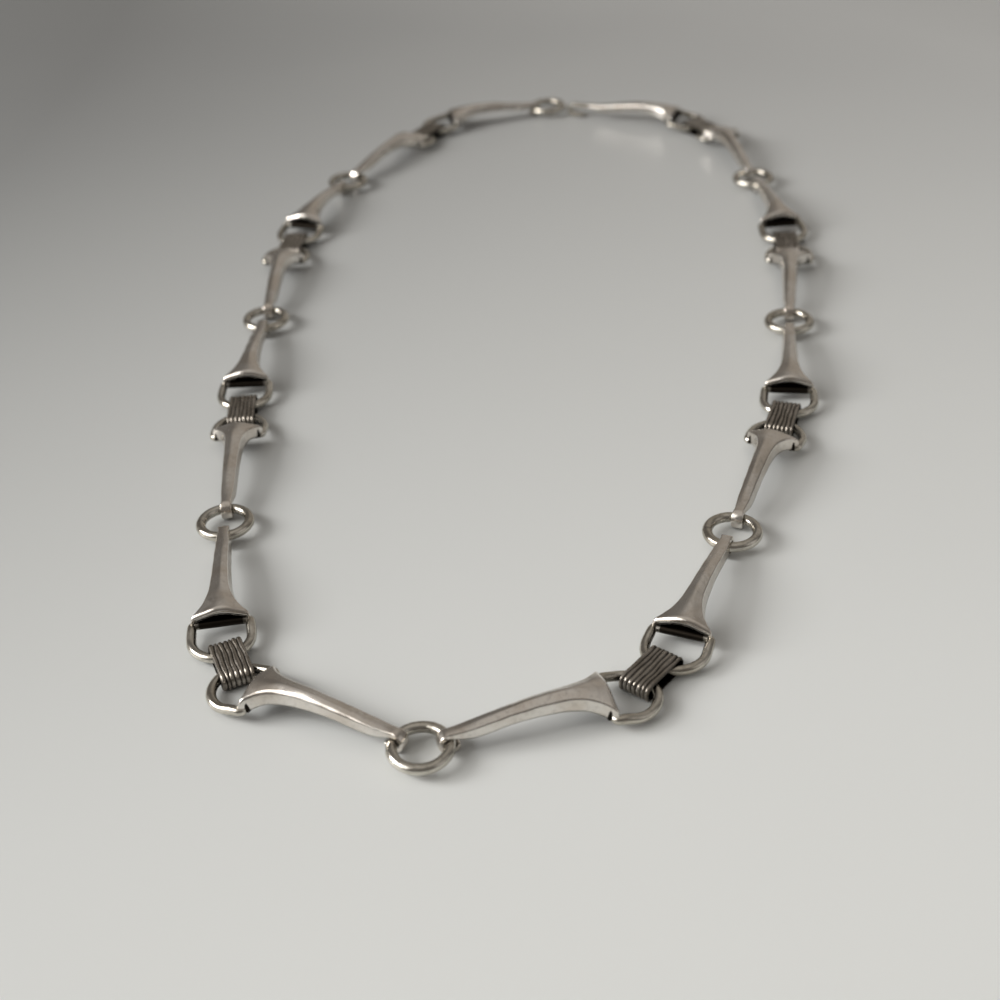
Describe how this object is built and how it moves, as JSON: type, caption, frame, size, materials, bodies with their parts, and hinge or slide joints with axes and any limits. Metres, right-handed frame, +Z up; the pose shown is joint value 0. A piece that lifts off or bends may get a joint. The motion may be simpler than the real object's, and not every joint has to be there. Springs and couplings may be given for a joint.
{
  "type": "horse-bit link necklace",
  "caption": "Silver chain necklace with trumpet-shaped bit links, round rings, D-shaped loops and ribbed wire straps, closed by a spring hook.",
  "frame": {"origin": "centre of the front ring, which is the pendant_ring mount", "axes": "+Z up from the table, +Y from the front ring to the clasp, +X to the right when looking from the front ring to the clasp"},
  "size_m": [0.0937, 0.1942, 0.0044],
  "materials": {
    "bit_silver": "worn polished silver with fine scratches",
    "wire_silver": "polished silver wire with dark tarnish on the inside of its curves",
    "strap_silver": "silver wires with blackened grooves between them"
  },
  "bodies": {
    "front_ring": {"front_ring": "wire_silver"},
    "left_bit_1": {"left_bit_1": "bit_silver", "left_dee_1": "wire_silver"},
    "left_strap_1": {"left_strap_1": "strap_silver"},
    "left_bit_2": {"left_bit_2": "bit_silver", "left_dee_2": "wire_silver"},
    "left_ring_1": {"left_ring_1": "wire_silver"},
    "left_bit_3": {"left_bit_3": "bit_silver", "left_dee_3": "wire_silver"},
    "left_strap_2": {"left_strap_2": "strap_silver"},
    "left_bit_4": {"left_bit_4": "bit_silver", "left_dee_4": "wire_silver"},
    "left_ring_2": {"left_ring_2": "wire_silver"},
    "left_bit_5": {"left_bit_5": "bit_silver", "left_dee_5": "wire_silver"},
    "left_strap_3": {"left_strap_3": "strap_silver"},
    "left_bit_6": {"left_bit_6": "bit_silver", "left_dee_6": "wire_silver"},
    "left_ring_3": {"left_ring_3": "wire_silver"},
    "left_bit_7": {"left_bit_7": "bit_silver", "left_dee_7": "wire_silver"},
    "left_strap_4": {"left_strap_4": "strap_silver"},
    "left_bit_8": {"left_bit_8": "bit_silver", "left_dee_8": "wire_silver"},
    "left_ring_4": {"left_ring_4": "wire_silver"},
    "right_bit_1": {"right_bit_1": "bit_silver", "right_dee_1": "wire_silver"},
    "right_strap_1": {"right_strap_1": "strap_silver"},
    "right_bit_2": {"right_bit_2": "bit_silver", "right_dee_2": "wire_silver"},
    "right_ring_1": {"right_ring_1": "wire_silver"},
    "right_bit_3": {"right_bit_3": "bit_silver", "right_dee_3": "wire_silver"},
    "right_strap_2": {"right_strap_2": "strap_silver"},
    "right_bit_4": {"right_bit_4": "bit_silver", "right_dee_4": "wire_silver"},
    "right_ring_2": {"right_ring_2": "wire_silver"},
    "right_bit_5": {"right_bit_5": "bit_silver", "right_dee_5": "wire_silver"},
    "right_strap_3": {"right_strap_3": "strap_silver"},
    "right_bit_6": {"right_bit_6": "bit_silver", "right_dee_6": "wire_silver"},
    "right_ring_3": {"right_ring_3": "wire_silver"},
    "right_bit_7": {"right_bit_7": "bit_silver", "right_dee_7": "wire_silver"},
    "right_strap_4": {"right_strap_4": "strap_silver"},
    "right_bit_8": {"right_bit_8": "bit_silver", "right_dee_8": "wire_silver", "clasp_hook": "wire_silver"}
  },
  "joints": [
    {"name": "left_bit_1_swing", "type": "hinge", "parent": "front_ring", "child": "left_bit_1", "pos_m": [0, 0, 0], "axis": [0, 0, 1], "range_deg": [0, 50]},
    {"name": "left_strap_1_tilt", "type": "hinge", "parent": "left_bit_1", "child": "left_strap_1", "pos_m": [-0.02283, 0.01165, -0.00032], "axis": [0.8829, 0.4695, 0], "range_deg": [-10, 10]},
    {"name": "left_bit_2_swing", "type": "hinge", "parent": "left_strap_1", "child": "left_bit_2", "pos_m": [-0.02574, 0.01712, -0.00032], "axis": [0, 0, 1], "range_deg": [0, 25]},
    {"name": "left_ring_1_tilt", "type": "hinge", "parent": "left_bit_2", "child": "left_ring_1", "pos_m": [-0.03018, 0.03637, 0], "axis": [-0.9744, -0.225, 0], "range_deg": [-30, 30]},
    {"name": "left_bit_3_swing", "type": "hinge", "parent": "left_ring_1", "child": "left_bit_3", "pos_m": [-0.03088, 0.03939, 0], "axis": [0, 0, 1], "range_deg": [0, 35]},
    {"name": "left_strap_2_tilt", "type": "hinge", "parent": "left_bit_3", "child": "left_strap_2", "pos_m": [-0.035, 0.06541, -0.00032], "axis": [0.9877, 0.1564, 0], "range_deg": [-10, 10]},
    {"name": "left_bit_4_swing", "type": "hinge", "parent": "left_strap_2", "child": "left_bit_4", "pos_m": [-0.03597, 0.07154, -0.00032], "axis": [0, 0, 1], "range_deg": [0, 25]},
    {"name": "left_ring_2_tilt", "type": "hinge", "parent": "left_bit_4", "child": "left_ring_2", "pos_m": [-0.03769, 0.09121, 0], "axis": [-0.9962, -0.0872, 0], "range_deg": [-30, 30]},
    {"name": "left_bit_5_swing", "type": "hinge", "parent": "left_ring_2", "child": "left_bit_5", "pos_m": [-0.03796, 0.0943, 0], "axis": [0, 0, 1], "range_deg": [0, 35]},
    {"name": "left_strap_3_tilt", "type": "hinge", "parent": "left_bit_5", "child": "left_strap_3", "pos_m": [-0.03944, 0.12059, -0.00032], "axis": [0.9994, -0.0349, 0], "range_deg": [-10, 10]},
    {"name": "left_bit_6_swing", "type": "hinge", "parent": "left_strap_3", "child": "left_bit_6", "pos_m": [-0.03922, 0.12679, -0.00032], "axis": [0, 0, 1], "range_deg": [0, 25]},
    {"name": "left_ring_3_tilt", "type": "hinge", "parent": "left_bit_6", "child": "left_ring_3", "pos_m": [-0.03511, 0.14611, 0], "axis": [-0.9781, 0.2079, 0], "range_deg": [-30, 30]},
    {"name": "left_bit_7_swing", "type": "hinge", "parent": "left_ring_3", "child": "left_bit_7", "pos_m": [-0.03447, 0.14914, 0], "axis": [0, 0, 1], "range_deg": [0, 35]},
    {"name": "left_strap_4_tilt", "type": "hinge", "parent": "left_bit_7", "child": "left_strap_4", "pos_m": [-0.02286, 0.1728, -0.00032], "axis": [0.891, -0.454, 0], "range_deg": [-10, 10]},
    {"name": "left_bit_8_swing", "type": "hinge", "parent": "left_strap_4", "child": "left_bit_8", "pos_m": [-0.02005, 0.17832, -0.00032], "axis": [0, 0, 1], "range_deg": [0, 25]},
    {"name": "left_ring_4_tilt", "type": "hinge", "parent": "left_bit_8", "child": "left_ring_4", "pos_m": [-0.00168, 0.18558, 0], "axis": [-0.3675, 0.93, 0], "range_deg": [-30, 30]},
    {"name": "right_bit_1_swing", "type": "hinge", "parent": "front_ring", "child": "right_bit_1", "pos_m": [0, 0, 0], "axis": [0, 0, -1], "range_deg": [0, 50]},
    {"name": "right_strap_1_tilt", "type": "hinge", "parent": "right_bit_1", "child": "right_strap_1", "pos_m": [0.02314, 0.01146, -0.00032], "axis": [0.829, -0.5592, 0], "range_deg": [-10, 10]},
    {"name": "right_bit_2_swing", "type": "hinge", "parent": "right_strap_1", "child": "right_bit_2", "pos_m": [0.02661, 0.0166, -0.00032], "axis": [0, 0, -1], "range_deg": [0, 25]},
    {"name": "right_ring_1_tilt", "type": "hinge", "parent": "right_bit_2", "child": "right_ring_1", "pos_m": [0.03271, 0.03538, 0], "axis": [-0.9511, 0.309, 0], "range_deg": [-30, 30]},
    {"name": "right_bit_3_swing", "type": "hinge", "parent": "right_ring_1", "child": "right_bit_3", "pos_m": [0.03367, 0.03833, 0], "axis": [0, 0, -1], "range_deg": [0, 35]},
    {"name": "right_strap_2_tilt", "type": "hinge", "parent": "right_bit_3", "child": "right_strap_2", "pos_m": [0.0412, 0.06358, -0.00032], "axis": [0.9703, -0.2419, 0], "range_deg": [-10, 10]},
    {"name": "right_bit_4_swing", "type": "hinge", "parent": "right_strap_2", "child": "right_bit_4", "pos_m": [0.0427, 0.0696, -0.00032], "axis": [0, 0, -1], "range_deg": [0, 25]},
    {"name": "right_ring_2_tilt", "type": "hinge", "parent": "right_bit_4", "child": "right_ring_2", "pos_m": [0.04408, 0.0893, 0], "axis": [-0.9976, 0.0698, 0], "range_deg": [-30, 30]},
    {"name": "right_bit_5_swing", "type": "hinge", "parent": "right_ring_2", "child": "right_bit_5", "pos_m": [0.04429, 0.09239, 0], "axis": [0, 0, -1], "range_deg": [0, 35]},
    {"name": "right_strap_3_tilt", "type": "hinge", "parent": "right_bit_5", "child": "right_strap_3", "pos_m": [0.04576, 0.11868, -0.00032], "axis": [0.9994, 0.0349, 0], "range_deg": [-10, 10]},
    {"name": "right_bit_6_swing", "type": "hinge", "parent": "right_strap_3", "child": "right_bit_6", "pos_m": [0.04555, 0.12488, -0.00032], "axis": [0, 0, -1], "range_deg": [0, 25]},
    {"name": "right_ring_3_tilt", "type": "hinge", "parent": "right_bit_6", "child": "right_ring_3", "pos_m": [0.04212, 0.14433, 0], "axis": [-0.9848, -0.1736, 0], "range_deg": [-30, 30]},
    {"name": "right_bit_7_swing", "type": "hinge", "parent": "right_ring_3", "child": "right_bit_7", "pos_m": [0.04158, 0.14738, 0], "axis": [0, 0, -1], "range_deg": [0, 35]},
    {"name": "right_strap_4_tilt", "type": "hinge", "parent": "right_bit_7", "child": "right_strap_4", "pos_m": [0.03346, 0.17217, -0.00032], "axis": [0.7771, 0.6293, 0], "range_deg": [-10, 10]},
    {"name": "right_bit_8_swing", "type": "hinge", "parent": "right_strap_4", "child": "right_bit_8", "pos_m": [0.02956, 0.17699, -0.00032], "axis": [0, 0, -1], "range_deg": [0, 25]}
  ]
}
